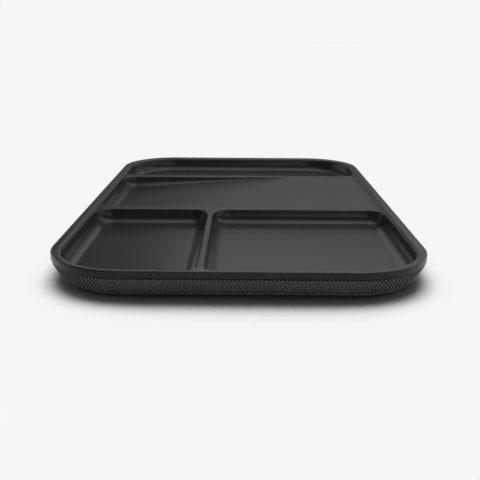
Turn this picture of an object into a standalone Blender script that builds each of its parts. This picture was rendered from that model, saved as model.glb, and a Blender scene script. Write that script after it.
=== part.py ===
"""Catchall tray: a smooth moulded top with four compartments over a tapered base pan.

Metres, +Z up, +X to the right and +Y to the back, seen from the front. The origin is in the middle of
the footprint, on the surface that the tray stands on.
"""
import math

import bmesh
import bpy
from mathutils import Matrix, Vector

MM = 0.001

# Outside of the tray
TRAY_WIDTH = 178.0 * MM
TRAY_DEPTH = 280.0 * MM
TRAY_HEIGHT = 13.0 * MM
CORNER_RADIUS = 36.9 * MM
LIP_HEIGHT = 3.35 * MM
LIP_EDGE_ROUND = 0.5 * MM

# Rim and dividers, seen from above. The wall lines are taken at the height of the divider crests.
RIM_WIDTH = 4.9 * MM
RIM_FLAT = 0.6 * MM
RIM_CROWN_ANGLE = math.radians(15.0)
RIM_ROUND = 2.2 * MM
FRONT_POCKET_LENGTH = 110.6 * MM
BACK_POCKET_LENGTH = 59.0 * MM
LEFT_POCKET_WIDTH = 65.9 * MM
CROSS_DIVIDER_WIDTH = 6.4 * MM
RIDGE_WIDTH = 2.6 * MM
POCKET_CORNER_RADIUS = 10.0 * MM

# Heights inside the tray, below the rim
CREST_DROP = 2.0 * MM
FLOOR_DROP = 9.4 * MM
CREST_ROUND = 1.0 * MM
FLOOR_FILLET = 6.8 * MM
DRAFT_ANGLE = math.radians(12.0)

# The middle floor rises from the foot of the left wall to the height of the crests
RAMP_RISE = 7.15 * MM
RAMP_LENGTH = 117.1 * MM

# Wall thicknesses of the top. What stays between its floors and the base pan makes the floors' own.
TOP_WALL = 1.5 * MM
LIP_WALL = 1.3 * MM
GROOVE_WIDTH = 2.1 * MM
GROOVE_ROOF = 1.6 * MM
RIB_WALL = 1.4 * MM
RIB_COUNT = 2
CORE_START_SHARE = 1 / 6

# Base pan
SKIRT_STEP = 0.7 * MM
SKIRT_TAPER = 4.7 * MM
BASE_EDGE_ROUND = 1.5 * MM
BASE_FLOOR = 1.4 * MM
TONGUE_WALL = 1.0 * MM
SKIRT_FOOT_WALL = 1.8 * MM

# Feet
FOOT_DIAMETER = 14.0 * MM
FOOT_STAND = 0.6 * MM
FOOT_RECESS = 0.7 * MM
FOOT_EDGE_ROUND = 0.3 * MM
FOOT_FROM_EDGE = 23.0 * MM

# Screws
HEAD_DIAMETER = 4.6 * MM
HEAD_HEIGHT = 1.4 * MM
HEAD_ROUND = 0.4 * MM
SHANK_DIAMETER = 2.4 * MM
SHANK_LENGTH = 6.4 * MM
TIP_DIAMETER = 1.2 * MM
TIP_LENGTH = 0.8 * MM
CROSS_SPAN = 2.6 * MM
CROSS_WIDTH = 0.7 * MM
CROSS_DEPTH = 0.7 * MM
WELL_ROOF = 1.0 * MM
WELL_WALL = 1.2 * MM
SCREW_FROM_EDGE = 12.5 * MM
PILOT_REST = 0.4 * MM

# Clearances and small modelling distances
GAP = 0.3 * MM
OVERRUN = 3.0 * MM
LEDGE = 0.1 * MM
LIFT = 0.02 * MM
FEATHER = 0.05 * MM
MERGE_DISTANCE = 0.001 * MM

# Counts of facets
BIG_ARC_STEPS = 10
SMALL_ARC_STEPS = 5
END_ARC_STEPS = 2
EDGE_STEPS = 3
FILLET_STEPS = 5
RAMP_SIDE_STEPS = 6
ROUND_STEPS = 24
SCREW_STEPS = 16

# Finishes: colour, roughness and metallic value
SMOOTH_PLASTIC = ((0.018, 0.018, 0.019), 0.42, 0.0)
KNURLED_PLASTIC = ((0.016, 0.016, 0.017), 0.5, 0.0)
RUBBER = ((0.012, 0.012, 0.012), 0.8, 0.0)
DARK_STEEL = ((0.06, 0.06, 0.065), 0.35, 1.0)

RIGHT_ANGLE = math.pi / 2
FULL_TURN = 2 * math.pi
SHARP_ANGLE = math.radians(35.0)
BEVEL_ANGLE = math.radians(50.0)

# Of an arc between a level plane and a drafted wall: its reach along the plane and down the wall
ARC_SWEEP = RIGHT_ANGLE - DRAFT_ANGLE
ARC_REACH_SHARE = math.tan(ARC_SWEEP / 2)
ARC_DROP_SHARE = 1 - math.sin(DRAFT_ANGLE)
WALL_SLOPE_SHARE = math.tan(DRAFT_ANGLE)

# Heights above the table
RIM_TOP = TRAY_HEIGHT
CREST_TOP = RIM_TOP - CREST_DROP
POCKET_FLOOR = RIM_TOP - FLOOR_DROP
LIP_BOTTOM = RIM_TOP - LIP_HEIGHT
BASE_BOTTOM = FOOT_STAND
BASE_FLOOR_TOP = BASE_BOTTOM + BASE_FLOOR
TUB_BOTTOM = BASE_FLOOR_TOP + GAP
TOP_FLOOR = POCKET_FLOOR - TUB_BOTTOM
SKIRT_TOP = LIP_BOTTOM - GAP
GROOVE_TOP = RIM_TOP - GROOVE_ROOF
TONGUE_TOP = GROOVE_TOP - GAP
HEAD_SEAT = BASE_BOTTOM + GAP + HEAD_HEIGHT + GAP
WELL_TOP = HEAD_SEAT + WELL_ROOF
BOSS_FACE = WELL_TOP + GAP
SCREW_TIP = HEAD_SEAT - GAP + SHANK_LENGTH
PILOT_TOP = SCREW_TIP + PILOT_REST

# Places in plan
LEFT_WALL = RIM_WIDTH - TRAY_WIDTH / 2
RIGHT_WALL = -LEFT_WALL
FRONT_WALL = RIM_WIDTH - TRAY_DEPTH / 2
BACK_WALL = -FRONT_WALL
FRONT_DIVIDER_FRONT = FRONT_WALL + FRONT_POCKET_LENGTH
FRONT_DIVIDER_BACK = FRONT_DIVIDER_FRONT + CROSS_DIVIDER_WIDTH
BACK_DIVIDER_BACK = BACK_WALL - BACK_POCKET_LENGTH
BACK_DIVIDER_FRONT = BACK_DIVIDER_BACK - CROSS_DIVIDER_WIDTH
RIDGE_LEFT = LEFT_WALL + LEFT_POCKET_WIDTH
RIDGE_RIGHT = RIDGE_LEFT + RIDGE_WIDTH
RIDGE_CENTRE = (RIDGE_LEFT + RIDGE_RIGHT) / 2
FRONT_DIVIDER_CENTRE = (FRONT_DIVIDER_FRONT + FRONT_DIVIDER_BACK) / 2
BACK_DIVIDER_CENTRE = (BACK_DIVIDER_FRONT + BACK_DIVIDER_BACK) / 2
INNER_CORNER_RADIUS = CORNER_RADIUS - RIM_WIDTH

RAMP_START = LEFT_WALL + RAMP_RISE * WALL_SLOPE_SHARE
RAMP_END = RAMP_START + RAMP_LENGTH
RAMP_SLOPE_SHARE = RAMP_RISE / RAMP_LENGTH


def clear_scene():
    """Remove what a new file holds."""
    for item in list(bpy.data.objects):
        bpy.data.objects.remove(item, do_unlink=True)


def new_collection(name):
    """Add a collection to the scene."""
    collection = bpy.data.collections.new(name)
    bpy.context.scene.collection.children.link(collection)
    return collection


def new_material(name, finish_values):
    """Make a Principled material."""
    colour, roughness, metallic = finish_values
    material = bpy.data.materials.new(name)
    material.use_nodes = True
    shader = material.node_tree.nodes["Principled BSDF"]
    shader.inputs["Base Color"].default_value = (*colour, 1.0)
    shader.inputs["Roughness"].default_value = roughness
    shader.inputs["Metallic"].default_value = metallic
    return material


def object_from_bmesh(name, shape, collection):
    """Turn a closed bmesh into an object with its faces pointing out."""
    bmesh.ops.recalc_face_normals(shape, faces=shape.faces)
    mesh = bpy.data.meshes.new(name)
    shape.to_mesh(mesh)
    shape.free()
    result = bpy.data.objects.new(name, mesh)
    collection.objects.link(result)
    return result


def as_cutter(cutter):
    """Mark an object as a tool that isn't part of the tray."""
    cutter.hide_render = True
    cutter.display_type = "WIRE"
    return cutter


def boolean(target, operation, tool):
    """Cut the tool out of the target, or join it to the target."""
    modifier = target.modifiers.new(operation.lower() + "_" + tool.name, "BOOLEAN")
    modifier.operation = operation
    modifier.solver = "EXACT"
    modifier.object = tool


def bevel(target, width, segments):
    """Round the edges that are sharper than the facets of an arc."""
    modifier = target.modifiers.new("round_edges", "BEVEL")
    modifier.width = width
    modifier.segments = segments
    modifier.limit_method = "ANGLE"
    modifier.angle_limit = BEVEL_ANGLE


def finish(part, material):
    """Give a part its material and smooth shading on its round faces."""
    part.data.materials.append(material)
    part.data.shade_smooth()
    part.data.set_sharp_from_angle(angle=SHARP_ANGLE)
    return part


class Station:
    """A point of an outline in plan: its place, the way out of the outline, and its share of flare."""

    def __init__(self, place, outward, flare):
        self.place = Vector(place)
        self.outward = Vector(outward)
        self.flare = flare

    def at(self, inset, height):
        """The point moved in from the outline, at a height."""
        point = self.place - self.outward * inset
        return (point.x, point.y, height)


def rounded_stations(bounds, radii, steps, flares=(0, 0, 0, 0), along=()):
    """Walk round a rectangle with round corners, from its left side, by its front, right and back.

    bounds is left, right, front, back; radii and steps go by corner, front left first; flares go by
    side, left, front, right, back; along holds the extra places in X on the front and back sides.
    """
    left, right, front, back = bounds
    corners = (
        (left + radii[0], front + radii[0]),
        (right - radii[1], front + radii[1]),
        (right - radii[2], back - radii[2]),
        (left + radii[3], back - radii[3]),
    )
    stations = []
    for corner, (centre_x, centre_y) in enumerate(corners):
        flare_in = flares[corner]
        flare_out = flares[(corner + 1) % len(flares)]
        for step in range(steps[corner] + 1):
            share = step / steps[corner]
            angle = math.pi + RIGHT_ANGLE * (corner + share)
            outward = (math.cos(angle), math.sin(angle))
            place = (centre_x + radii[corner] * outward[0], centre_y + radii[corner] * outward[1])
            stations.append(Station(place, outward, flare_in + (flare_out - flare_in) * share))
        if corner == 0:
            stations += [Station((x, front), (0, -1), flare_out) for x in along]
        if corner == 2:
            stations += [Station((x, back), (0, 1), flare_out) for x in reversed(along)]
    return stations


def tray_stations(inset=0.0):
    """The rim's outer edge, or a line inside it that keeps the same corner centres."""
    half_width = TRAY_WIDTH / 2 - inset
    half_depth = TRAY_DEPTH / 2 - inset
    bounds = (-half_width, half_width, -half_depth, half_depth)
    radii = (CORNER_RADIUS - inset,) * 4
    return rounded_stations(bounds, radii, (BIG_ARC_STEPS,) * 4)


def loft(name, rings, collection, closed=False):
    """Skin rings of points. Open lofts get a flat cap at each end, closed ones meet themselves."""
    shape = bmesh.new()
    loops = [[shape.verts.new(point) for point in ring] for ring in rings]
    pairs = list(zip(loops, loops[1:]))
    if closed:
        pairs.append((loops[-1], loops[0]))
    else:
        shape.faces.new(loops[0])
        shape.faces.new(loops[-1])
    for lower, upper in pairs:
        for index in range(len(lower)):
            following = (index + 1) % len(lower)
            shape.faces.new((lower[index], lower[following], upper[following], upper[index]))
    return object_from_bmesh(name, shape, collection)


def profile_loft(name, stations, profile, collection, closed=False):
    """Carry one profile, a list of inset and height, round an outline."""
    rings = [[station.at(inset, height) for station in stations] for inset, height in profile]
    return loft(name, rings, collection, closed)


def plate(name, outline, low, high, collection, upright=False):
    """A flat outline, extruded in Z, or an upright one in X and Z, extruded in Y."""
    curve = bpy.data.curves.new(name, "CURVE")
    curve.dimensions = "2D"
    curve.fill_mode = "BOTH"
    curve.extrude = (high - low) / 2
    spline = curve.splines.new("POLY")
    spline.points.add(len(outline) - 1)
    for point, place in zip(spline.points, outline):
        point.co = (*place, 0, 1)
    spline.use_cyclic_u = True
    flat = bpy.data.objects.new(name, curve)
    collection.objects.link(flat)
    bpy.context.view_layer.update()
    mesh = bpy.data.meshes.new_from_object(flat.evaluated_get(bpy.context.evaluated_depsgraph_get()))
    bpy.data.objects.remove(flat, do_unlink=True)
    shape = bmesh.new()
    shape.from_mesh(mesh)
    bpy.data.meshes.remove(mesh)
    bmesh.ops.remove_doubles(shape, verts=shape.verts, dist=MERGE_DISTANCE)
    shift = Vector((0, 0, (low + high) / 2))
    if upright:
        turn = Matrix.Rotation(RIGHT_ANGLE, 3, "X")
        bmesh.ops.rotate(shape, verts=shape.verts, cent=(0, 0, 0), matrix=turn)
        shift = Vector((0, (low + high) / 2, 0))
    bmesh.ops.translate(shape, verts=shape.verts, vec=shift)
    return object_from_bmesh(name, shape, collection)


def box(name, bounds, bottom, top, collection):
    """A box from its left, right, front and back, and its heights."""
    left, right, front, back = bounds
    shape = bmesh.new()
    bmesh.ops.create_cube(shape, size=1)
    bmesh.ops.scale(shape, verts=shape.verts, vec=(right - left, back - front, top - bottom))
    centre = ((left + right) / 2, (front + back) / 2, (bottom + top) / 2)
    bmesh.ops.translate(shape, verts=shape.verts, vec=centre)
    return object_from_bmesh(name, shape, collection)


def cylinder(name, centre, diameter, bottom, top, collection, steps=ROUND_STEPS):
    """An upright cylinder."""
    shape = bmesh.new()
    bmesh.ops.create_cone(shape, cap_ends=True, segments=steps, radius1=diameter / 2,
                          radius2=diameter / 2, depth=top - bottom)
    bmesh.ops.translate(shape, verts=shape.verts, vec=(*centre, (top + bottom) / 2))
    return object_from_bmesh(name, shape, collection)


def upper_arc(radius):
    """Inset and drop of a rounded edge, from the level plane to the drafted wall."""
    points = []
    for step in range(EDGE_STEPS + 1):
        angle = ARC_SWEEP * step / EDGE_STEPS
        points.append((radius * (math.sin(angle) - ARC_REACH_SHARE), radius * (1 - math.cos(angle))))
    return points


def lower_arc(radius, depth):
    """Inset and drop of a fillet, from the drafted wall to the floor at a depth."""
    points = []
    for step in range(FILLET_STEPS + 1):
        angle = DRAFT_ANGLE + ARC_SWEEP * step / FILLET_STEPS
        inset = depth * WALL_SLOPE_SHARE + radius * (ARC_REACH_SHARE - math.cos(angle))
        points.append((inset, depth - radius * (1 - math.sin(angle))))
    return points


def pocket_section(flare, depth):
    """Inset and drop down one wall of a pocket: crest edge, drafted wall and floor fillet.

    The arcs shrink together where the pocket is too shallow for them. A wall under the rim has no crest
    edge of its own, so its flare is 0.
    """
    share = min(1.0, depth / ((CREST_ROUND + FLOOR_FILLET) * ARC_DROP_SHARE))
    section = []
    for inset, drop in upper_arc(CREST_ROUND * share):
        straight = drop * WALL_SLOPE_SHARE
        section.append((straight + flare * (inset - straight), drop))
    edge_inset = section[0][0]
    above = [(edge_inset, -CREST_DROP - OVERRUN), (edge_inset, -LIFT)]
    return above + section[1:] + lower_arc(FLOOR_FILLET * share, depth)


def ramp_height(x):
    """Height of the sloping middle floor."""
    return CREST_TOP - RAMP_RISE + (x - RAMP_START) * RAMP_SLOPE_SHARE


def level_floor(x):
    """Height of a level pocket floor, anywhere along it."""
    return POCKET_FLOOR


def wall_points(station, floor):
    """The points down a pocket's wall at a station, to a floor at this height."""
    mouth = max(CREST_TOP, floor + FEATHER)
    section = pocket_section(station.flare, mouth - floor)
    return [station.at(inset, mouth - drop) for inset, drop in section]


def pocket_cutter(name, stations, floor_height, collection):
    """The space of one pocket, from above the rim down to its floor, which may slope along X."""
    walls = []
    for station in stations:
        foot = wall_points(station, floor_height(station.place.x))[-1]
        walls.append(wall_points(station, floor_height(foot[0])))
    return as_cutter(loft(name, list(zip(*walls)), collection))


def pockets(collection):
    """The four pocket cutters."""
    small = POCKET_CORNER_RADIUS
    big = INNER_CORNER_RADIUS - LEDGE
    few = SMALL_ARC_STEPS
    many = BIG_ARC_STEPS
    left = LEFT_WALL + LEDGE
    right = RIGHT_WALL - LEDGE
    front = FRONT_WALL + LEDGE
    back = BACK_WALL - LEDGE
    front_left = rounded_stations((left, RIDGE_LEFT, front, FRONT_DIVIDER_FRONT),
                                  (big, small, small, small), (many, few, few, few), (0, 0, 1, 1))
    front_right = rounded_stations((RIDGE_RIGHT, right, front, FRONT_DIVIDER_FRONT),
                                   (small, big, small, small), (few, many, few, few), (1, 0, 0, 1))
    rear = rounded_stations((left, right, BACK_DIVIDER_BACK, back),
                            (small, small, big, big), (few, few, many, many), (0, 1, 0, 0))
    ramp_reach = RAMP_END + OVERRUN
    side_length = RAMP_END - (left + small)
    places = [left + small + side_length * step / RAMP_SIDE_STEPS for step in range(1, RAMP_SIDE_STEPS + 1)]
    middle = rounded_stations((left, ramp_reach, FRONT_DIVIDER_BACK, BACK_DIVIDER_FRONT),
                              (small, CREST_ROUND, CREST_ROUND, small),
                              (few, END_ARC_STEPS, END_ARC_STEPS, few), (0, 1, 1, 1), places)
    return [
        pocket_cutter("front_left_pocket", front_left, level_floor, collection),
        pocket_cutter("front_right_pocket", front_right, level_floor, collection),
        pocket_cutter("back_pocket", rear, level_floor, collection),
        pocket_cutter("middle_pocket", middle, ramp_height, collection),
    ]


def rim_profile():
    """Inset and drop of the rim's inside: a slight crown, then a tight round into the drafted wall."""
    round_reach = RIM_ROUND * (math.cos(DRAFT_ANGLE) - math.sin(RIM_CROWN_ANGLE))
    round_drop = RIM_ROUND * (math.cos(RIM_CROWN_ANGLE) - math.sin(DRAFT_ANGLE))
    wall_reach = (CREST_DROP - round_drop) * WALL_SLOPE_SHARE
    crown_share = math.tan(RIM_CROWN_ANGLE / 2)
    crown_reach = (RIM_WIDTH - RIM_FLAT - round_reach - wall_reach) / (1 - crown_share * WALL_SLOPE_SHARE)
    crown_radius = crown_reach / math.sin(RIM_CROWN_ANGLE)
    crown_drop = crown_reach * crown_share
    points = []
    for step in range(EDGE_STEPS + 1):
        angle = RIM_CROWN_ANGLE * step / EDGE_STEPS
        points.append((RIM_FLAT + crown_radius * math.sin(angle), crown_radius * (1 - math.cos(angle))))
    for step in range(1, EDGE_STEPS + 1):
        angle = RIM_CROWN_ANGLE + (ARC_SWEEP - RIM_CROWN_ANGLE) * step / EDGE_STEPS
        reach = RIM_ROUND * (math.sin(angle) - math.sin(RIM_CROWN_ANGLE))
        drop = RIM_ROUND * (math.cos(RIM_CROWN_ANGLE) - math.cos(angle))
        points.append((RIM_FLAT + crown_reach + reach, crown_drop + drop))
    return points


def basin_cutter(collection):
    """The space above the divider crests, inside the rim, with the rim's rounded inner edge."""
    profile = [(RIM_FLAT, RIM_TOP + OVERRUN), (RIM_FLAT, RIM_TOP + LIFT)]
    profile += [(inset, RIM_TOP - drop) for inset, drop in rim_profile()[1:] if drop < CREST_DROP]
    profile.append((RIM_WIDTH, CREST_TOP))
    return as_cutter(profile_loft("basin", tray_stations(), profile, collection))


def tub(collection):
    """The block that the pockets are cut from, one wall outside them, joined to the lip plate."""
    shift = RIM_WIDTH - TOP_WALL / math.cos(DRAFT_ANGLE)
    fillet = lower_arc(FLOOR_FILLET + TOP_WALL, CREST_TOP - TUB_BOTTOM)
    profile = [(shift + (CREST_TOP - GROOVE_TOP) * WALL_SLOPE_SHARE, GROOVE_TOP)]
    profile += [(shift + inset, CREST_TOP - drop) for inset, drop in fillet]
    return as_cutter(profile_loft("tub", tray_stations(), profile, collection))


def groove_cutter(collection):
    """The groove under the lip that takes the base's tongue."""
    outer = LIP_WALL
    inner = LIP_WALL + GROOVE_WIDTH
    below = LIP_BOTTOM - OVERRUN
    profile = [(outer, below), (outer, GROOVE_TOP), (inner, GROOVE_TOP), (inner, below)]
    return as_cutter(profile_loft("groove", tray_stations(), profile, collection, closed=True))


def core_cutters(collection):
    """The hollows under the sloping floor, with ribs left between them, and under the cross dividers."""
    right = RIGHT_WALL - FLOOR_FILLET - 2 * TOP_WALL
    left = RAMP_START + (right - RAMP_START) * CORE_START_SHARE
    roof = CREST_TOP - TOP_FLOOR
    below = TUB_BOTTOM - OVERRUN
    front = FRONT_DIVIDER_BACK + TOP_WALL
    back = BACK_DIVIDER_FRONT - TOP_WALL
    cell = (back - front - RIB_COUNT * RIB_WALL) / (RIB_COUNT + 1)
    side = ((left, below), (right, below), (right, roof), (RAMP_END, roof),
            (left, ramp_height(left) - TOP_FLOOR))
    cutters = []
    for index in range(RIB_COUNT + 1):
        start = front + index * (cell + RIB_WALL)
        name = "ramp_core_%d" % (index + 1)
        cutters.append(as_cutter(plate(name, side, start, start + cell, collection, upright=True)))
    half_core = CROSS_DIVIDER_WIDTH / 2 - TOP_WALL
    reach = TRAY_WIDTH / 2 - SCREW_FROM_EDGE - well_diameter()
    stop = well_diameter()
    spans = (
        ("front_divider_core_1", -reach, RIDGE_CENTRE - stop, FRONT_DIVIDER_CENTRE),
        ("front_divider_core_2", RIDGE_CENTRE + stop, reach, FRONT_DIVIDER_CENTRE),
        ("back_divider_core", -reach, reach, BACK_DIVIDER_CENTRE),
    )
    for name, start, end, centre in spans:
        bounds = (start, end, centre - half_core, centre + half_core)
        cutters.append(as_cutter(box(name, bounds, below, roof, collection)))
    return cutters


def screw_places():
    """Where the dividers meet the rim and each other, by name."""
    side = TRAY_WIDTH / 2 - SCREW_FROM_EDGE
    return {
        "front": (RIDGE_CENTRE, SCREW_FROM_EDGE - TRAY_DEPTH / 2),
        "centre": (RIDGE_CENTRE, FRONT_DIVIDER_CENTRE),
        "middle_left": (-side, FRONT_DIVIDER_CENTRE),
        "middle_right": (side, FRONT_DIVIDER_CENTRE),
        "back_left": (-side, BACK_DIVIDER_CENTRE),
        "back_right": (side, BACK_DIVIDER_CENTRE),
    }


def foot_places():
    """The feet, one in each corner of the base, by name."""
    side = TRAY_WIDTH / 2 - FOOT_FROM_EDGE
    end = TRAY_DEPTH / 2 - FOOT_FROM_EDGE
    return {
        "front_left": (-side, -end),
        "front_right": (side, -end),
        "back_left": (-side, end),
        "back_right": (side, end),
    }


def well_diameter():
    """Outside of the well round a screw head."""
    return HEAD_DIAMETER + 2 * (GAP + WELL_WALL)


def make_tray_top(collection, tools, material):
    """The upper moulding: lip, rim, dividers and pockets."""
    outline = [(station.place.x, station.place.y) for station in tray_stations()]
    top = plate("tray_top", outline, LIP_BOTTOM, RIM_TOP, collection)
    bevel(top, LIP_EDGE_ROUND, EDGE_STEPS)
    boolean(top, "UNION", tub(tools))
    boolean(top, "DIFFERENCE", groove_cutter(tools))
    boolean(top, "DIFFERENCE", basin_cutter(tools))
    for cutter in pockets(tools) + core_cutters(tools):
        boolean(top, "DIFFERENCE", cutter)
    for name, place in screw_places().items():
        seat = cylinder("seat_" + name, place, well_diameter() + 2 * GAP, TUB_BOTTOM - OVERRUN,
                        BOSS_FACE, tools)
        pilot = cylinder("pilot_" + name, place, SHANK_DIAMETER + 2 * GAP, BOSS_FACE - OVERRUN,
                         PILOT_TOP, tools, SCREW_STEPS)
        boolean(top, "DIFFERENCE", as_cutter(seat))
        boolean(top, "DIFFERENCE", as_cutter(pilot))
    return finish(top, material)


def make_base_shell(collection, tools, material):
    """The lower moulding: tapered sides, floor, tongue, screw wells and foot recesses."""
    tongue_outer = LIP_WALL + GAP
    tongue_inner = tongue_outer + TONGUE_WALL
    foot_inset = SKIRT_STEP + SKIRT_TAPER
    skirt_height = SKIRT_TOP - BASE_BOTTOM
    lean = math.atan2(SKIRT_TAPER, skirt_height)
    reach = BASE_EDGE_ROUND * math.tan((RIGHT_ANGLE - lean) / 2)
    profile = [(tongue_outer, TONGUE_TOP), (tongue_outer, SKIRT_TOP), (SKIRT_STEP, SKIRT_TOP)]
    for step in range(EDGE_STEPS + 1):
        angle = lean + (RIGHT_ANGLE - lean) * step / EDGE_STEPS
        inset = foot_inset + reach - BASE_EDGE_ROUND * math.cos(angle)
        profile.append((inset, BASE_BOTTOM + BASE_EDGE_ROUND * (1 - math.sin(angle))))
    base = profile_loft("base_shell", tray_stations(), profile, collection)
    inner_foot = foot_inset - SKIRT_TAPER * BASE_FLOOR / skirt_height + SKIRT_FOOT_WALL
    hollow = [(tongue_inner, TONGUE_TOP + OVERRUN), (tongue_inner, SKIRT_TOP), (inner_foot, BASE_FLOOR_TOP)]
    boolean(base, "DIFFERENCE", as_cutter(profile_loft("base_hollow", tray_stations(), hollow, tools)))
    for name, place in screw_places().items():
        well = cylinder("well_" + name, place, well_diameter(), (BASE_BOTTOM + BASE_FLOOR_TOP) / 2,
                        WELL_TOP, tools)
        recess = cylinder("head_recess_" + name, place, HEAD_DIAMETER + 2 * GAP, BASE_BOTTOM - OVERRUN,
                          HEAD_SEAT, tools)
        hole = cylinder("screw_hole_" + name, place, SHANK_DIAMETER + 2 * GAP, BASE_BOTTOM - OVERRUN,
                        WELL_TOP + OVERRUN, tools, SCREW_STEPS)
        boolean(base, "UNION", as_cutter(well))
        boolean(base, "DIFFERENCE", as_cutter(recess))
        boolean(base, "DIFFERENCE", as_cutter(hole))
    for name, place in foot_places().items():
        recess = cylinder("foot_recess_" + name, place, FOOT_DIAMETER + 2 * GAP, BASE_BOTTOM - OVERRUN,
                          BASE_BOTTOM + FOOT_RECESS, tools)
        boolean(base, "DIFFERENCE", as_cutter(recess))
    return finish(base, material)


def make_feet(collection, material):
    """Rubber pads, glued into the recesses of the base, that stand out below it."""
    top = BASE_BOTTOM + FOOT_RECESS - GAP
    for name, place in foot_places().items():
        foot = cylinder("foot_" + name, place, FOOT_DIAMETER, 0, top, collection)
        bevel(foot, FOOT_EDGE_ROUND, EDGE_STEPS - 1)
        finish(foot, material)


def screw_mesh(collection, tools):
    """One screw, point up, with its head's face at height 0 and a cross cut in the head."""
    head = HEAD_DIAMETER / 2
    shank = SHANK_DIAMETER / 2
    tip = HEAD_HEIGHT + SHANK_LENGTH
    profile = [(0, tip), (TIP_DIAMETER / 2, tip), (shank, tip - TIP_LENGTH)]
    profile += [(shank, HEAD_HEIGHT), (head, HEAD_HEIGHT)]
    profile += [(head, HEAD_ROUND), (head - HEAD_ROUND, 0), (0, 0)]
    shape = bmesh.new()
    points = [shape.verts.new((x, 0, z)) for x, z in profile]
    for first, second in zip(points, points[1:]):
        shape.edges.new((first, second))
    mesh = bpy.data.meshes.new("screw_profile")
    shape.to_mesh(mesh)
    shape.free()
    screw = bpy.data.objects.new("screw_form", mesh)
    collection.objects.link(screw)
    turn = screw.modifiers.new("turn", "SCREW")
    turn.axis = "Z"
    turn.angle = FULL_TURN
    turn.steps = SCREW_STEPS
    turn.render_steps = SCREW_STEPS
    turn.use_merge_vertices = True
    turn.merge_threshold = MERGE_DISTANCE
    span = CROSS_SPAN / 2
    half = CROSS_WIDTH / 2
    for name, across, along in (("cross_x", span, half), ("cross_y", half, span)):
        slot = box(name, (-across, across, -along, along), -OVERRUN, CROSS_DEPTH, tools)
        boolean(screw, "DIFFERENCE", as_cutter(slot))
    bpy.context.view_layer.update()
    evaluated = screw.evaluated_get(bpy.context.evaluated_depsgraph_get())
    result = bpy.data.meshes.new_from_object(evaluated)
    result.name = "screw"
    bpy.data.objects.remove(screw, do_unlink=True)
    for name in ("cross_x", "cross_y"):
        bpy.data.objects.remove(bpy.data.objects[name], do_unlink=True)
    return result


def make_screws(collection, tools, material):
    """The screws that hold the base to the top, all with one mesh."""
    mesh = screw_mesh(collection, tools)
    mesh.materials.clear()
    mesh.materials.append(material)
    mesh.shade_smooth()
    mesh.set_sharp_from_angle(angle=SHARP_ANGLE)
    for name, (x, y) in screw_places().items():
        screw = bpy.data.objects.new("screw_" + name, mesh)
        screw.location = (x, y, BASE_BOTTOM + GAP)
        collection.objects.link(screw)


def main():
    """Build the tray."""
    clear_scene()
    parts = new_collection("catchall_tray")
    tools = new_collection("cutters")
    make_tray_top(parts, tools, new_material("smooth_plastic", SMOOTH_PLASTIC))
    make_base_shell(parts, tools, new_material("knurled_plastic", KNURLED_PLASTIC))
    make_feet(parts, new_material("rubber", RUBBER))
    make_screws(parts, tools, new_material("dark_steel", DARK_STEEL))


main()
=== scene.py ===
import math

import bmesh
import bpy
from mathutils import Matrix, Vector


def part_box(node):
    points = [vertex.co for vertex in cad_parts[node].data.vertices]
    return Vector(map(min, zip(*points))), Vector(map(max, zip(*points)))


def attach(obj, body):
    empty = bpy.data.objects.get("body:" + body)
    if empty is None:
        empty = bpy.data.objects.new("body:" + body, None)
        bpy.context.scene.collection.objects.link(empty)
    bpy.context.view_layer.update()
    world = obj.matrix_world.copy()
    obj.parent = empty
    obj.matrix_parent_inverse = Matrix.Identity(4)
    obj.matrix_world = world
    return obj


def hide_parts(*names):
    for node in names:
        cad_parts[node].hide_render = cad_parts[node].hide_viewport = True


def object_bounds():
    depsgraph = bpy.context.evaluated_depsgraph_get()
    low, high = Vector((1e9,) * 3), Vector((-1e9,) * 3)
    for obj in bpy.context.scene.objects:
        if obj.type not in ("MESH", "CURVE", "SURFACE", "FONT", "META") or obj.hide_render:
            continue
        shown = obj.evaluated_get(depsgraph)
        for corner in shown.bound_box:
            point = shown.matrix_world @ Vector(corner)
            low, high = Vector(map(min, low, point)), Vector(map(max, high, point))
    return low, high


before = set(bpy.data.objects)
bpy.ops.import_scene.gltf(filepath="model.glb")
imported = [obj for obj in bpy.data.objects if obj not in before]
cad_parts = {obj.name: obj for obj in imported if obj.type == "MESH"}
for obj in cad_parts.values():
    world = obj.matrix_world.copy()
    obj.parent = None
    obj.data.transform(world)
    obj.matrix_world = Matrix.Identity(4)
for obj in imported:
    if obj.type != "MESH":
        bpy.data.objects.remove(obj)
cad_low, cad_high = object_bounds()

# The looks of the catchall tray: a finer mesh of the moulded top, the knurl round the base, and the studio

MM = 0.001
BODY = "root"

# The outside comes from the frame. The rest of the tray's sizes are those of its solids.
WIDTH = cad_high.x - cad_low.x
DEPTH = cad_high.y - cad_low.y
RIM_TOP = cad_high.z
CORNER_RADIUS = 36.9 * MM
LIP_HEIGHT = 3.35 * MM
LIP_TOP_ROUND = 0.5 * MM
LIP_BOTTOM_ROUND = 0.35 * MM
RIM_WIDTH = 4.9 * MM
RIM_ROUND = 2.2 * MM
RIM_FLAT = 0.6 * MM
RIM_CROWN_ANGLE = math.radians(15.0)
FRONT_POCKET_LENGTH = 110.6 * MM
BACK_POCKET_LENGTH = 59.0 * MM
LEFT_POCKET_WIDTH = 65.9 * MM
CROSS_DIVIDER_WIDTH = 6.4 * MM
RIDGE_WIDTH = 2.6 * MM
POCKET_CORNER_RADIUS = 10.0 * MM
CREST_DROP = 2.0 * MM
FLOOR_DROP = 9.4 * MM
CREST_ROUND = 1.0 * MM
FLOOR_FILLET = 6.8 * MM
DRAFT_ANGLE = math.radians(12.0)
RAMP_RISE = 7.15 * MM
RAMP_LENGTH = 117.1 * MM
TOP_WALL = 1.5 * MM
GROOVE_INSET = 1.3 * MM
GROOVE_WIDTH = 2.1 * MM
GROOVE_ROOF = 1.6 * MM
GAP = 0.3 * MM
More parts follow.
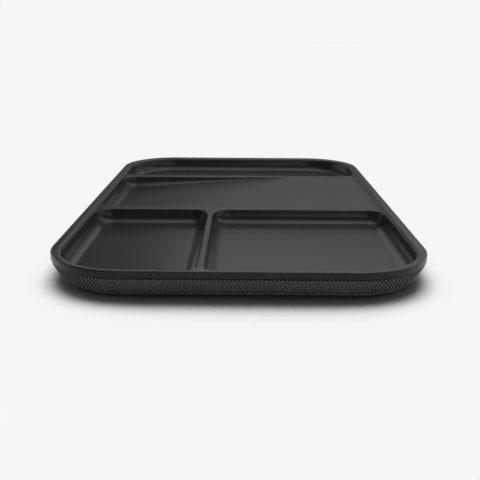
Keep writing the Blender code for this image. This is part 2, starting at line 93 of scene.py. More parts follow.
BORE_DIAMETER = 3.0 * MM
SEAT_DIAMETER = 8.2 * MM
SEAT_HEIGHT = 3.3 * MM
SKIRT_STEP = 0.7 * MM
SKIRT_TAPER = 4.7 * MM
BASE_EDGE_ROUND = 1.5 * MM

# Knurl round the base: pyramids that stand on one corner. A mesh attribute is 1 where painted highlight
# goes.
KNURL_PITCH = 1.8 * MM
KNURL_RISE = 1.9 * MM
KNURL_RELIEF = 0.7 * MM
KNURL_SEAT = 0.04 * MM
KNURL_BACKING = 0.15 * MM
KNURL_BORDER = 0.15 * MM
KNURL_UNDER = 6.0 * MM
KNURL_PAINTED_LIGHT = "knurl_painted_light"

# Small modelling distances: how far cutters run past what they cut, and keep off each other's faces
OVERRUN = 3.0 * MM
LEDGE = 0.004 * MM
LIFT = 0.02 * MM
FEATHER = 0.05 * MM

# Counts of facets
BIG_ARC_STEPS = 32
SMALL_ARC_STEPS = 16
END_ARC_STEPS = 3
EDGE_STEPS = 8
FILLET_STEPS = 12
RAMP_SIDE_STEPS = 16
ROUND_STEPS = 32

# Finishes: colour, roughness and specular level
SMOOTH_PLASTIC = ((0.012, 0.012, 0.0125), 0.295, 0.2)
# The knurled plastic's colour is its tips' painted highlight; painted shade darkens the grooves to a share
# of it
KNURLED_PLASTIC_PAINTED_LIGHT = ((0.16, 0.16, 0.163), 0.3, 0.5)
BASE_PLASTIC = ((0.02, 0.02, 0.0205), 0.3, 0.5)
RUBBER = ((0.014, 0.014, 0.014), 0.8, 0.3)
DARK_STEEL = ((0.06, 0.06, 0.065), 0.35, 0.5)

# Grain and slow drifts of the finishes
GRAIN_SIZE = 0.12 * MM
GRAIN_DEPTH = 0.01 * MM
GRAIN_STRENGTH = 0.1
DRIFTS_PER_METRE = 18.0
COLOUR_DRIFT_SHARE = 0.08
GLOSS_DRIFT = 0.02
DRIFT_DETAIL = 3.0
GRAIN_DETAIL = 2.0

# Painted shade in the knurl's grooves: their share of its height, and of its tips' colour
GROOVE_SHARE = 0.3
GROOVE_PAINTED_SHADE_SHARE = 0.04

RIGHT_ANGLE = math.pi / 2
SHARP_ANGLE = math.radians(40.0)

# The arcs between level faces and drafted walls: their sweep, and their extents as shares of a radius
ARC_SWEEP = RIGHT_ANGLE - DRAFT_ANGLE
ARC_REACH_SHARE = math.tan(ARC_SWEEP / 2)
ARC_DROP_SHARE = 1 - math.sin(DRAFT_ANGLE)
WALL_SLOPE_SHARE = math.tan(DRAFT_ANGLE)

# Heights
CREST_TOP = RIM_TOP - CREST_DROP
POCKET_FLOOR = RIM_TOP - FLOOR_DROP
LIP_BOTTOM = RIM_TOP - LIP_HEIGHT
TUB_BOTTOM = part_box("tray_top")[0].z
BASE_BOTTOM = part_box("base_shell")[0].z
SKIRT_TOP = LIP_BOTTOM - GAP
GROOVE_TOP = RIM_TOP - GROOVE_ROOF

# Places in plan
LEFT_WALL = RIM_WIDTH - WIDTH / 2
RIGHT_WALL = -LEFT_WALL
FRONT_WALL = RIM_WIDTH - DEPTH / 2
BACK_WALL = -FRONT_WALL
FRONT_DIVIDER_FRONT = FRONT_WALL + FRONT_POCKET_LENGTH
FRONT_DIVIDER_BACK = FRONT_DIVIDER_FRONT + CROSS_DIVIDER_WIDTH
BACK_DIVIDER_BACK = BACK_WALL - BACK_POCKET_LENGTH
BACK_DIVIDER_FRONT = BACK_DIVIDER_BACK - CROSS_DIVIDER_WIDTH
RIDGE_LEFT = LEFT_WALL + LEFT_POCKET_WIDTH
RIDGE_RIGHT = RIDGE_LEFT + RIDGE_WIDTH
INNER_CORNER_RADIUS = CORNER_RADIUS - RIM_WIDTH
RAMP_START = LEFT_WALL + RAMP_RISE * WALL_SLOPE_SHARE
RAMP_END = RAMP_START + RAMP_LENGTH
RAMP_SLOPE_SHARE = RAMP_RISE / RAMP_LENGTH

# Camera, worked out from the outline of the rim in the photograph
CAMERA_PLACE = Vector((1.44, -409.64, 109.59)) * MM
CAMERA_PITCH = 0.29593
CAMERA_YAW = 0.00283
CAMERA_ROLL = -0.00640
FOCAL_PIXELS = 671.73
IMAGE_PIXELS = 480
SENSOR_WIDTH = 36.0
CLIP_START = 10 * MM
CLIP_END = 100.0

# Studio: what the pale paper and the dim room send out, and the floor with the low backdrop round it
PALE_RADIANCE = 0.92
ROOM_RADIANCE = 0.18
PAPER_COLOUR = (0.85, 0.85, 0.85)
FLOOR_RADIUS = 12.0
BACKDROP_HEIGHT = 1.17
BACKDROP_STEPS = 64

# The tray's painted shadow on the floor: how far the light that it stops leans back, and how far its shade
# reaches
SHADOW_LEAN = math.radians(50.0)
SHADOW_REACH = 70 * MM
SHADOW_SAMPLES = 32

# What the floor shows, as painted shadow, where the tray leaves these shares of that light open
CONTACT_SHARE = 0.17
CONTACT_RADIANCE = 0.002
SHADOW_SHARE = 0.4
SHADOW_RADIANCE = 0.045
OPEN_SHARE = 0.8

# Softboxes round the tray: place of the middle, width and height, and radiance
TOP = 0.66
BACK = 0.6
SIDE = 0.6
FRONT = -0.75
SOFTBOXES = (
    ("top_middle", (0.0, 0.25, TOP), (0.4, 0.2), 2.2),
    ("top_front", (0.0, 0.0, TOP), (0.4, 0.3), 1.45),
    ("top_right", (0.4, 0.15, TOP), (0.4, 0.6), 1.45),
    ("top_back", (0.0, 0.48, TOP), (0.5, 0.25), 1.0),
    ("back_high", (0.1, BACK, 0.53), (0.42, 0.22), 0.7),
    ("back_middle", (0.1, BACK, 0.34), (0.45, 0.15), 0.9),
    ("left_corner", (-0.45, BACK, 0.1), (0.3, 0.16), 1.0),
    ("right_corner", (0.45, BACK, 0.14), (0.3, 0.24), 0.5),
    ("left_strip", (-SIDE, 0.3, 0.12), (0.6, 0.2), 1.1),
    ("left_high", (-SIDE, 0.3, 0.43), (0.6, 0.4), 0.3),
    ("right_strip", (SIDE, 0.3, 0.12), (0.6, 0.2), 0.6),
    ("right_high", (SIDE, 0.3, 0.43), (0.6, 0.4), 0.6),
    ("right_front", (SIDE, -0.25, 0.12), (0.5, 0.2), 1.4),
    ("front_right", (0.3, FRONT, 0.43), (0.6, 0.4), 1.4),
)

# Power of a lamp of one square metre that sends out a radiance of 1
WATTS_FOR_RADIANCE = 4.0

# Distance between nodes in the material editor
NODE_SPACING = 250


class Station:
    """A point of an outline in plan: its place, the way out of the outline, and its share of flare."""

    def __init__(self, place, outward, flare=0.0):
        self.place = Vector(place)
        self.outward = Vector(outward)
        self.flare = flare

    def at(self, inset, height):
        """The point moved in from the outline, at a height."""
        point = self.place - self.outward * inset
        return (point.x, point.y, height)


def rounded_stations(bounds, radii, steps, flares=(0, 0, 0, 0), along=()):
    """Walk round a rectangle with round corners, from its left side, by its front, right and back."""
    left, right, front, back = bounds
    corners = (
        (left + radii[0], front + radii[0]),
        (right - radii[1], front + radii[1]),
        (right - radii[2], back - radii[2]),
        (left + radii[3], back - radii[3]),
    )
    stations = []
    for corner, (centre_x, centre_y) in enumerate(corners):
        flare_in = flares[corner]
        flare_out = flares[(corner + 1) % len(flares)]
        for step in range(steps[corner] + 1):
            share = step / steps[corner]
            angle = math.pi + RIGHT_ANGLE * (corner + share)
            outward = (math.cos(angle), math.sin(angle))
            place = (centre_x + radii[corner] * outward[0], centre_y + radii[corner] * outward[1])
            stations.append(Station(place, outward, flare_in + (flare_out - flare_in) * share))
        if corner == 0:
            stations += [Station((x, front), (0, -1), flare_out) for x in along]
        if corner == 2:
            stations += [Station((x, back), (0, 1), flare_out) for x in reversed(along)]
    return stations


def tray_stations():
    """The rim's outer edge."""
    bounds = (-WIDTH / 2, WIDTH / 2, -DEPTH / 2, DEPTH / 2)
    return rounded_stations(bounds, (CORNER_RADIUS,) * 4, (BIG_ARC_STEPS,) * 4)


def object_from_bmesh(name, shape):
    """Turn a closed bmesh into an object with its faces pointing out."""
    bmesh.ops.recalc_face_normals(shape, faces=shape.faces)
    mesh = bpy.data.meshes.new(name)
    shape.to_mesh(mesh)
    shape.free()
    result = bpy.data.objects.new(name, mesh)
    bpy.context.scene.collection.objects.link(result)
    return result


def loft(name, rings, closed=False):
    """Skin rings of points. Open lofts get a flat cap at each end, closed ones meet themselves."""
    shape = bmesh.new()
    loops = [[shape.verts.new(point) for point in ring] for ring in rings]
    pairs = list(zip(loops, loops[1:]))
    if closed:
        pairs.append((loops[-1], loops[0]))
    else:
        shape.faces.new(loops[0])
        shape.faces.new(loops[-1])
    for lower, upper in pairs:
        for index in range(len(lower)):
            following = (index + 1) % len(lower)
            shape.faces.new((lower[index], lower[following], upper[following], upper[index]))
    return object_from_bmesh(name, shape)


def profile_loft(name, stations, profile, closed=False):
    """Carry one profile, a list of inset and height, round an outline."""
    rings = [[station.at(inset, height) for station in stations] for inset, height in profile]
    return loft(name, rings, closed)


def cylinder(name, centre, diameter, bottom, top):
    """An upright cylinder."""
    shape = bmesh.new()
    bmesh.ops.create_cone(shape, cap_ends=True, segments=ROUND_STEPS, radius1=diameter / 2,
                          radius2=diameter / 2, depth=top - bottom)
    bmesh.ops.translate(shape, verts=shape.verts, vec=(centre.x, centre.y, (top + bottom) / 2))
    return object_from_bmesh(name, shape)


def apply_modifiers(target):
    """Replace the object's mesh by what its modifiers make of it."""
    bpy.context.view_layer.update()
    evaluated = target.evaluated_get(bpy.context.evaluated_depsgraph_get())
    mesh = bpy.data.meshes.new_from_object(evaluated)
    target.modifiers.clear()
    target.data = mesh


def combine(target, operation, tools):
    """Join the tools to the target, or cut them out of it, and remove them."""
    for tool in tools:
        modifier = target.modifiers.new(tool.name, "BOOLEAN")
        modifier.operation = operation
        modifier.solver = "EXACT"
        modifier.object = tool
        apply_modifiers(target)
        bpy.data.objects.remove(tool, do_unlink=True)


def upper_arc(radius):
    """Inset and drop of a rounded edge, from the level plane to the drafted wall."""
    points = []
    for step in range(EDGE_STEPS + 1):
        angle = ARC_SWEEP * step / EDGE_STEPS
        points.append((radius * (math.sin(angle) - ARC_REACH_SHARE), radius * (1 - math.cos(angle))))
    return points


def lower_arc(radius, depth):
    """Inset and drop of a fillet, from the drafted wall to the floor at a depth."""
    points = []
    for step in range(FILLET_STEPS + 1):
        angle = DRAFT_ANGLE + ARC_SWEEP * step / FILLET_STEPS
        inset = depth * WALL_SLOPE_SHARE + radius * (ARC_REACH_SHARE - math.cos(angle))
        points.append((inset, depth - radius * (1 - math.sin(angle))))
    return points


def pocket_section(flare, depth):
    """Inset and drop down one wall of a pocket: crest edge, drafted wall and floor fillet."""
    share = min(1.0, depth / ((CREST_ROUND + FLOOR_FILLET) * ARC_DROP_SHARE))
    section = []
    for inset, drop in upper_arc(CREST_ROUND * share):
        straight = drop * WALL_SLOPE_SHARE
        section.append((straight + flare * (inset - straight), drop))
    edge_inset = section[0][0]
    above = [(edge_inset, -CREST_DROP - OVERRUN), (edge_inset, -LIFT)]
    return above + section[1:] + lower_arc(FLOOR_FILLET * share, depth)


def ramp_height(x):
    """Height of the sloping middle floor."""
    return CREST_TOP - RAMP_RISE + (x - RAMP_START) * RAMP_SLOPE_SHARE


def level_floor(x):
    """Height of a level pocket floor, anywhere along it."""
    return POCKET_FLOOR


def wall_points(station, floor):
    """The points down a pocket's wall at a station, to a floor at this height."""
    mouth = max(CREST_TOP, floor + FEATHER)
    section = pocket_section(station.flare, mouth - floor)
    return [station.at(inset, mouth - drop) for inset, drop in section]


def pocket_cutter(name, stations, floor_height):
    """The space of one pocket, from above the rim down to its floor, which may slope along X."""
    walls = []
    for station in stations:
        foot = wall_points(station, floor_height(station.place.x))[-1]
        walls.append(wall_points(station, floor_height(foot[0])))
    return loft(name, list(zip(*walls)))


def pockets():
    """The four pocket cutters."""
    small = POCKET_CORNER_RADIUS
    big = INNER_CORNER_RADIUS - LEDGE
    few = SMALL_ARC_STEPS
    many = BIG_ARC_STEPS
    left = LEFT_WALL + LEDGE
    right = RIGHT_WALL - LEDGE
    front = FRONT_WALL + LEDGE
    back = BACK_WALL - LEDGE
    front_left = rounded_stations((left, RIDGE_LEFT, front, FRONT_DIVIDER_FRONT),
                                  (big, small, small, small), (many, few, few, few), (0, 0, 1, 1))
    front_right = rounded_stations((RIDGE_RIGHT, right, front, FRONT_DIVIDER_FRONT),
                                   (small, big, small, small), (few, many, few, few), (1, 0, 0, 1))
    rear = rounded_stations((left, right, BACK_DIVIDER_BACK, back),
                            (small, small, big, big), (few, few, many, many), (0, 1, 0, 0))
    ramp_reach = RAMP_END + OVERRUN
    side_length = RAMP_END - (left + small)
    places = [left + small + side_length * step / RAMP_SIDE_STEPS for step in range(1, RAMP_SIDE_STEPS + 1)]
    middle = rounded_stations((left, ramp_reach, FRONT_DIVIDER_BACK, BACK_DIVIDER_FRONT),
                              (small, CREST_ROUND, CREST_ROUND, small),
                              (few, END_ARC_STEPS, END_ARC_STEPS, few), (0, 1, 1, 1), places)
    return [
        pocket_cutter("front_left_pocket", front_left, level_floor),
        pocket_cutter("front_right_pocket", front_right, level_floor),
        pocket_cutter("back_pocket", rear, level_floor),
        pocket_cutter("middle_pocket", middle, ramp_height),
    ]


def rim_profile():
    """Inset and drop of the rim's inside: a slight crown, then a tight round into the drafted wall."""
    round_reach = RIM_ROUND * (math.cos(DRAFT_ANGLE) - math.sin(RIM_CROWN_ANGLE))
    round_drop = RIM_ROUND * (math.cos(RIM_CROWN_ANGLE) - math.sin(DRAFT_ANGLE))
    wall_reach = (CREST_DROP - round_drop) * WALL_SLOPE_SHARE
    crown_share = math.tan(RIM_CROWN_ANGLE / 2)
    crown_reach = (RIM_WIDTH - RIM_FLAT - round_reach - wall_reach) / (1 - crown_share * WALL_SLOPE_SHARE)
    crown_radius = crown_reach / math.sin(RIM_CROWN_ANGLE)
    crown_drop = crown_reach * crown_share
    points = []
    for step in range(EDGE_STEPS + 1):
        angle = RIM_CROWN_ANGLE * step / EDGE_STEPS
        points.append((RIM_FLAT + crown_radius * math.sin(angle), crown_radius * (1 - math.cos(angle))))
    for step in range(1, EDGE_STEPS + 1):
        angle = RIM_CROWN_ANGLE + (ARC_SWEEP - RIM_CROWN_ANGLE) * step / EDGE_STEPS
        reach = RIM_ROUND * (math.sin(angle) - math.sin(RIM_CROWN_ANGLE))
        drop = RIM_ROUND * (math.cos(RIM_CROWN_ANGLE) - math.cos(angle))
        points.append((RIM_FLAT + crown_reach + reach, crown_drop + drop))
    return points


def basin_cutter():
    """The space above the divider crests, inside the rim, with the rim's rounded inner edge."""
    profile = [(RIM_FLAT, RIM_TOP + OVERRUN), (RIM_FLAT, RIM_TOP + LIFT)]
    profile += [(inset, RIM_TOP - drop) for inset, drop in rim_profile()[1:] if drop < CREST_DROP]
    profile.append((RIM_WIDTH, CREST_TOP))
    return profile_loft("basin", tray_stations(), profile)


def tub():
    """The block that the pockets are cut from, one wall outside them, joined to the lip plate."""
    shift = RIM_WIDTH - TOP_WALL / math.cos(DRAFT_ANGLE)
    fillet = lower_arc(FLOOR_FILLET + TOP_WALL, CREST_TOP - TUB_BOTTOM)
    profile = [(shift + (CREST_TOP - GROOVE_TOP) * WALL_SLOPE_SHARE, GROOVE_TOP)]
    profile += [(shift + inset, CREST_TOP - drop) for inset, drop in fillet]
    return profile_loft("tub", tray_stations(), profile)


def groove_cutter():
    """The groove under the lip that takes the base's tongue."""
    outer = GROOVE_INSET
    inner = GROOVE_INSET + GROOVE_WIDTH
    below = LIP_BOTTOM - OVERRUN
    profile = [(outer, below), (outer, GROOVE_TOP), (inner, GROOVE_TOP), (inner, below)]
    return profile_loft("groove", tray_stations(), profile, closed=True)


def quarter(radius, start):
    """Inset and height of a quarter circle from its two tangents, by EDGE_STEPS, from an angle on."""
    return [(radius * (1 - math.cos(start + RIGHT_ANGLE * step / EDGE_STEPS)),
             radius * (1 - math.sin(start + RIGHT_ANGLE * step / EDGE_STEPS)))
            for step in range(EDGE_STEPS + 1)]


def lip_block():
    """The lip's plate with its two outer edges rounded."""
    profile = [(inset, LIP_BOTTOM + rise) for inset, rise in quarter(LIP_BOTTOM_ROUND, 0)][::-1]
    profile += [(inset, RIM_TOP - drop) for inset, drop in quarter(LIP_TOP_ROUND, 0)]
    return profile_loft("smooth_top", tray_stations(), profile)


def screw_bores():
    """Room for the base's screw wells and for the screws, round the screws of the frame."""
    cutters = []
    for name in [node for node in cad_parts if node.startswith("screw_")]:
        low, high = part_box(name)
        centre = (low + high) / 2
        bore = cylinder("bore_" + name, centre, BORE_DIAMETER, low.z, high.z + GAP)
        seat_top = BASE_BOTTOM + SEAT_HEIGHT
        seat = cylinder("seat_" + name, centre, SEAT_DIAMETER, TUB_BOTTOM - OVERRUN, seat_top)
        cutters += [bore, seat]
    return cutters


def make_top(material):
    """The moulded top, with the same shapes as its solid and finer arcs."""
    top = lip_block()
    combine(top, "UNION", [tub()])
    combine(top, "DIFFERENCE", [groove_cutter(), basin_cutter()] + pockets() + screw_bores())
    finish_shape(top, material)
    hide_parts("tray_top")
    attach(top, BODY)
    return top


def finish_shape(piece, material):
    """Give a piece its material, and shading that follows its flat faces and its arcs."""
    piece.data.materials.clear()
    piece.data.materials.append(material)
    piece.data.shade_smooth()
    piece.data.set_sharp_from_angle(angle=SHARP_ANGLE)
    weighted = piece.modifiers.new("face_weighted_shading", "WEIGHTED_NORMAL")
    weighted.keep_sharp = True


def even_stations(count):
    """Stations round the rim's outer edge at equal distances."""
    half_width = WIDTH / 2
    half_depth = DEPTH / 2
    straight_x = WIDTH - 2 * CORNER_RADIUS
    straight_y = DEPTH - 2 * CORNER_RADIUS
    arc = RIGHT_ANGLE * CORNER_RADIUS
    sides = (
        ((-half_width, half_depth - CORNER_RADIUS), (0, -1), straight_y),
        ((CORNER_RADIUS - half_width, -half_depth), (1, 0), straight_x),
        ((half_width, CORNER_RADIUS - half_depth), (0, 1), straight_y),
        ((half_width - CORNER_RADIUS, half_depth), (-1, 0), straight_x),
    )
    total = sum(side[2] + arc for side in sides)
    stations = []
    for index in range(count):
        distance = total * index / count
        for start, way, length in sides:
            outward = Vector((way[1], -way[0]))
            if distance <= length:
                stations.append(Station(Vector(start) + Vector(way) * distance, outward))
                break
            distance -= length
            if distance <= arc:
                end = Vector(start) + Vector(way) * length
                centre = end - outward * CORNER_RADIUS
                turned = Matrix.Rotation(distance / CORNER_RADIUS, 2) @ outward
                stations.append(Station(centre + turned * CORNER_RADIUS, turned))
                break
            distance -= arc
    return stations, total


def base_profile():
    """The lean of the base's sides, the centre of its rounded lower edge, and angles round that edge."""
    lean = math.atan2(SKIRT_TAPER, SKIRT_TOP - BASE_BOTTOM)
    reach = BASE_EDGE_ROUND * math.tan((RIGHT_ANGLE - lean) / 2)
    centre = (SKIRT_STEP + SKIRT_TAPER + reach, BASE_BOTTOM + BASE_EDGE_ROUND)
    angles = [lean + (RIGHT_ANGLE - lean) * step / EDGE_STEPS for step in range(EDGE_STEPS + 1)]
    return lean, centre, angles


def knurled_loft(rings, first_row, last_row):
    """Skin rings that meet themselves, with the cells of the knurl's rows split along their ridges."""
    shape = bmesh.new()
    loops = [[shape.verts.new(point) for point in ring] for ring in rings]
    for row, lower in enumerate(loops):
        upper = loops[(row + 1) % len(loops)]
        for index in range(len(lower)):
            following = (index + 1) % len(lower)
            near, right, far, left = lower[index], lower[following], upper[following], upper[index]
            if not first_row <= row < last_row:
                shape.faces.new((near, right, far, left))
            elif (row - first_row + index) % 2 == 0:
                shape.faces.new((near, right, left))
                shape.faces.new((right, far, left))
            else:
                shape.faces.new((near, right, far))
                shape.faces.new((near, far, left))
    return shape


def make_knurl(material):
    """A thin knurled skin on the base's sides and lower edge, standing on the base's own faces."""
    lean, centre, angles = base_profile()
    way_in, way_up = -math.cos(lean), -math.sin(lean)
    above = GAP - KNURL_SEAT
    start = (SKIRT_STEP - above * math.tan(lean), SKIRT_TOP + above)
    end = (centre[0] - BASE_EDGE_ROUND * math.cos(lean), centre[1] - BASE_EDGE_ROUND * math.sin(lean))
    slant = math.hypot(end[0] - start[0], end[1] - start[1])
    rows = 2 * round((slant - 2 * KNURL_BORDER) / KNURL_RISE)
    perimeter = even_stations(1)[1]
    columns = 2 * round(perimeter / KNURL_PITCH)
    stations = even_stations(columns)[0]

    def skirt_point(along, lift):
        share = along / slant
        inset = start[0] + (end[0] - start[0]) * share
        height = start[1] + (end[1] - start[1]) * share
        return (inset + way_in * lift, height + way_up * lift)

    rings = [[station.at(*skirt_point(0, KNURL_SEAT)) for station in stations]]
    tips = []
    for row in range(rows + 1):
        along = KNURL_BORDER + (slant - 2 * KNURL_BORDER) * row / rows
        ring = []
        for column, station in enumerate(stations):
            peak = 0 < row < rows and (row + column) % 2 == 0
            if peak:
                tips.append(len(rings) * columns + column)
            ring.append(station.at(*skirt_point(along, KNURL_SEAT + (KNURL_RELIEF if peak else 0))))
        rings.append(ring)
    first_row, last_row = 1, rows + 1
    edge_start = len(rings) * columns
    for lift in (KNURL_SEAT, -KNURL_BACKING):
        radius = BASE_EDGE_ROUND + lift
        bend = [(centre[0] - radius * math.cos(angle), centre[1] - radius * math.sin(angle))
                for angle in angles]
        bend.append((centre[0] + KNURL_UNDER, BASE_BOTTOM - lift))
        if lift < 0:
            bend = bend[::-1]
        rings += [[station.at(*point) for station in stations] for point in bend]
    rings.append([station.at(*skirt_point(0, -KNURL_BACKING)) for station in stations])

    knurl = object_from_bmesh("knurled_skin", knurled_loft(rings, first_row, last_row))
    # The attribute is 1 on the knurl's tips for a painted highlight, and 0 in the grooves between for
    # painted shade
    height = knurl.data.attributes.new(KNURL_PAINTED_LIGHT, "FLOAT", "POINT")
    # The rounded lower edge gets the tips' value too: a painted highlight all along it
    lower_edge = range(edge_start, edge_start + len(angles) * columns)
    for pale in (*tips, *lower_edge):
        height.data[pale].value = 1.0
    knurl.data.materials.append(material)
    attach(knurl, BODY)
    return knurl


def node(tree, kind, **values):
    """Add a node at the end of a row, and set its sockets by name."""
    made = tree.nodes.new(kind)
    made.location.x = NODE_SPACING * len(tree.nodes)
    for name, value in values.items():
        made.inputs[name.replace("_", " ")].default_value = value
    return made


def plastic(name, colour, roughness, specular):
    """Moulded plastic: a fine spark-eroded grain, and slow drifts in colour and in gloss."""
    material = bpy.data.materials.new(name)
    material.use_nodes = True
    tree = material.node_tree
    shader = tree.nodes["Principled BSDF"]
    shader.inputs["Metallic"].default_value = 0.0
    shader.inputs["Specular IOR Level"].default_value = specular
    place = node(tree, "ShaderNodeTexCoord")
    drift = node(tree, "ShaderNodeTexNoise", Scale=DRIFTS_PER_METRE, Detail=DRIFT_DETAIL)
    grain = node(tree, "ShaderNodeTexNoise", Scale=1 / GRAIN_SIZE, Detail=GRAIN_DETAIL)
    tree.links.new(place.outputs["Object"], drift.inputs["Vector"])
    tree.links.new(place.outputs["Object"], grain.inputs["Vector"])
    tint = node(tree, "ShaderNodeValToRGB")
    dark, pale = tint.color_ramp.elements
    dark.color = (*[value * (1 - COLOUR_DRIFT_SHARE) for value in colour], 1)
    pale.color = (*[value * (1 + COLOUR_DRIFT_SHARE) for value in colour], 1)
    gloss = node(tree, "ShaderNodeMapRange", To_Min=roughness - GLOSS_DRIFT,
                 To_Max=roughness + GLOSS_DRIFT)
    bump = node(tree, "ShaderNodeBump", Strength=GRAIN_STRENGTH, Distance=GRAIN_DEPTH)
    tree.links.new(drift.outputs["Fac"], tint.inputs["Fac"])
    tree.links.new(tint.outputs["Color"], shader.inputs["Base Color"])
    tree.links.new(drift.outputs["Fac"], gloss.inputs["Value"])
    tree.links.new(gloss.outputs["Result"], shader.inputs["Roughness"])
    tree.links.new(grain.outputs["Fac"], bump.inputs["Height"])
    tree.links.new(bump.outputs["Normal"], shader.inputs["Normal"])
    return material


def add_knurl_painted_light(material):
    """Painted shade in the grooves and a painted highlight on the tips, by the attribute that the knurl's
    mesh carries.
    """
    tree = material.node_tree
    height = node(tree, "ShaderNodeAttribute")
    height.attribute_name = KNURL_PAINTED_LIGHT
    level = node(tree, "ShaderNodeMapRange", From_Min=GROOVE_SHARE, To_Min=GROOVE_PAINTED_SHADE_SHARE)
    level.interpolation_type = "SMOOTHSTEP"
    shade = node(tree, "ShaderNodeVectorMath")
    shade.operation = "SCALE"
    shader = tree.nodes["Principled BSDF"]
    tint = shader.inputs["Base Color"].links[0].from_socket
    tree.links.new(height.outputs["Fac"], level.inputs["Value"])
    tree.links.new(tint, shade.inputs["Vector"])
    tree.links.new(level.outputs["Result"], shade.inputs["Scale"])
    tree.links.new(shade.outputs["Vector"], shader.inputs["Base Color"])


def make_finishes():
    """The materials, one for each kind of piece."""
    finishes = {
        "smooth": plastic("smooth_plastic_grain", *SMOOTH_PLASTIC),
        "knurl": plastic("knurled_plastic_grain_painted_light", *KNURLED_PLASTIC_PAINTED_LIGHT),
        "base": plastic("base_plastic_grain", *BASE_PLASTIC),
        "foot": plastic("pad_rubber_grain", *RUBBER),
        "screw": plastic("screw_steel_speckle", *DARK_STEEL),
    }
    # Painted shade in the knurl's grooves and a painted highlight on its tips
    add_knurl_painted_light(finishes["knurl"])
    finishes["screw"].node_tree.nodes["Principled BSDF"].inputs["Metallic"].default_value = 1.0
    return finishes


def pick_seen_rays(tree):
    """1 for the rays that show the studio itself: to the camera, and by way of gloss or glass."""
    path = node(tree, "ShaderNodeLightPath")
    either = node(tree, "ShaderNodeMath")
    either.operation = "MAXIMUM"
    seen = node(tree, "ShaderNodeMath")
    seen.operation = "MAXIMUM"
    tree.links.new(path.outputs["Is Camera Ray"], either.inputs[0])
    tree.links.new(path.outputs["Is Glossy Ray"], either.inputs[1])
    tree.links.new(either.outputs[0], seen.inputs[0])
    tree.links.new(path.outputs["Is Transmission Ray"], seen.inputs[1])
    return seen.outputs[0]


def make_world():
    """A dim, even room round the softboxes."""
    world = bpy.data.worlds.new("studio")
    bpy.context.scene.world = world
    world.use_nodes = True
    room = world.node_tree.nodes["Background"]
    room.inputs["Color"].default_value = (1, 1, 1, 1)
    room.inputs["Strength"].default_value = ROOM_RADIANCE


def pale_material(name):
    """Plain pale paper: lit like any matt surface, and seen as pale by the camera and in reflections."""
    material = bpy.data.materials.new(name)
    material.use_nodes = True
    material.cycles.emission_sampling = "NONE"
    tree = material.node_tree
    tree.nodes.remove(tree.nodes["Principled BSDF"])
    lit = node(tree, "ShaderNodeBsdfDiffuse", Color=(*PAPER_COLOUR, 1))
    pale = node(tree, "ShaderNodeEmission", Color=(1, 1, 1, 1), Strength=PALE_RADIANCE)
    mix = node(tree, "ShaderNodeMixShader")
    tree.links.new(pick_seen_rays(tree), mix.inputs["Fac"])
    tree.links.new(lit.outputs["BSDF"], mix.inputs[1])
    tree.links.new(pale.outputs["Emission"], mix.inputs[2])
    tree.links.new(mix.outputs["Shader"], tree.nodes["Material Output"].inputs["Surface"])
    return material, pale


def add_contact_shadow(material, pale):
    """Paint the tray's shadow on the seen paper: darken it where the tray covers it from the lamps above and
    behind.
    """
    tree = material.node_tree
    lean = node(tree, "ShaderNodeCombineXYZ", Y=math.tan(SHADOW_LEAN), Z=1.0)
    openness = node(tree, "ShaderNodeAmbientOcclusion", Distance=SHADOW_REACH)
    openness.samples = SHADOW_SAMPLES
    deep = node(tree, "ShaderNodeMapRange", From_Min=CONTACT_SHARE, From_Max=SHADOW_SHARE,
                To_Min=CONTACT_RADIANCE, To_Max=SHADOW_RADIANCE)
    fade = node(tree, "ShaderNodeMapRange", From_Min=SHADOW_SHARE, From_Max=OPEN_SHARE, To_Max=PALE_RADIANCE)
    fade.interpolation_type = "SMOOTHSTEP"
    tree.links.new(lean.outputs["Vector"], openness.inputs["Normal"])
    tree.links.new(openness.outputs["AO"], deep.inputs["Value"])
    tree.links.new(openness.outputs["AO"], fade.inputs["Value"])
    tree.links.new(deep.outputs["Result"], fade.inputs["To Min"])
    tree.links.new(fade.outputs["Result"], pale.inputs["Strength"])


def make_floor():
    """A wide pale floor, and a low pale backdrop all round it."""
    shape = bmesh.new()
    bmesh.ops.create_circle(shape, cap_ends=True, segments=BACKDROP_STEPS, radius=FLOOR_RADIUS)
    floor = object_from_bmesh("floor", shape)
    material, pale = pale_material("floor_paper")
    add_contact_shadow(material, pale)
    floor.data.materials.append(material)
    shape = bmesh.new()
    bmesh.ops.create_cone(shape, segments=BACKDROP_STEPS, radius1=FLOOR_RADIUS, radius2=FLOOR_RADIUS,
                          depth=BACKDROP_HEIGHT)
    bmesh.ops.translate(shape, verts=shape.verts, vec=(0, 0, BACKDROP_HEIGHT / 2))
    backdrop = object_from_bmesh("backdrop", shape)
    backdrop.data.materials.append(pale_material("backdrop_paper")[0])


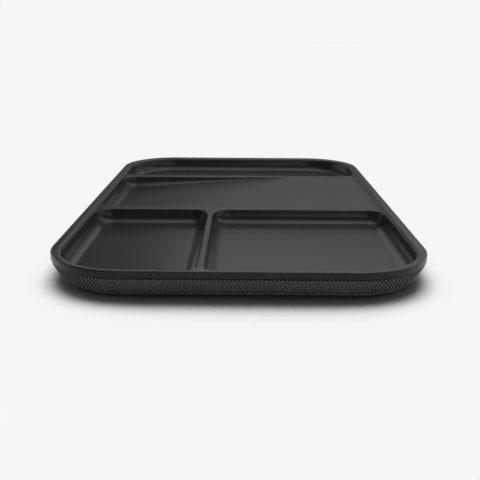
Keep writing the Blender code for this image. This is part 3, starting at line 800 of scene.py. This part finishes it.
def softbox(name, place, size, radiance):
    """A soft rectangular lamp that faces the tray."""
    data = bpy.data.lights.new(name, "AREA")
    data.shape = "RECTANGLE"
    data.size, data.size_y = size
    data.energy = radiance * size[0] * size[1] * WATTS_FOR_RADIANCE
    lamp = bpy.data.objects.new(name, data)
    lamp.location = place
    lamp.rotation_mode = "QUATERNION"
    lamp.rotation_quaternion = (-lamp.location).to_track_quat("-Z", "Y")
    lamp.visible_camera = False
    bpy.context.scene.collection.objects.link(lamp)


def make_lamps():
    """The studio's softboxes."""
    for name, place, size, radiance in SOFTBOXES:
        softbox(name, place, size, radiance)


def make_camera():
    """The camera, at the photograph's place and angle."""
    cos_pitch, sin_pitch = math.cos(CAMERA_PITCH), math.sin(CAMERA_PITCH)
    forward = Vector((-math.sin(CAMERA_YAW) * cos_pitch, math.cos(CAMERA_YAW) * cos_pitch, -sin_pitch))
    level = Vector((math.cos(CAMERA_YAW), math.sin(CAMERA_YAW), 0))
    down = forward.cross(level)
    right = math.cos(CAMERA_ROLL) * level + math.sin(CAMERA_ROLL) * down
    lower = math.cos(CAMERA_ROLL) * down - math.sin(CAMERA_ROLL) * level
    data = bpy.data.cameras.new("camera")
    data.sensor_width = SENSOR_WIDTH
    data.lens = FOCAL_PIXELS / IMAGE_PIXELS * SENSOR_WIDTH
    data.clip_start = CLIP_START
    data.clip_end = CLIP_END
    camera = bpy.data.objects.new("camera", data)
    axes = Matrix((right, -lower, -forward)).transposed()
    camera.matrix_world = Matrix.Translation(CAMERA_PLACE) @ axes.to_4x4()
    bpy.context.scene.collection.objects.link(camera)
    bpy.context.scene.camera = camera


def main():
    """Dress the frame and light it."""
    finishes = make_finishes()
    make_top(finishes["smooth"])
    make_knurl(finishes["knurl"])
    for name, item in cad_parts.items():
        if name != "tray_top":
            item.data.materials.clear()
            item.data.materials.append(finishes[name.split("_")[0]])
    make_floor()
    make_world()
    make_lamps()
    make_camera()
    bpy.context.scene.view_settings.view_transform = "Standard"


main()
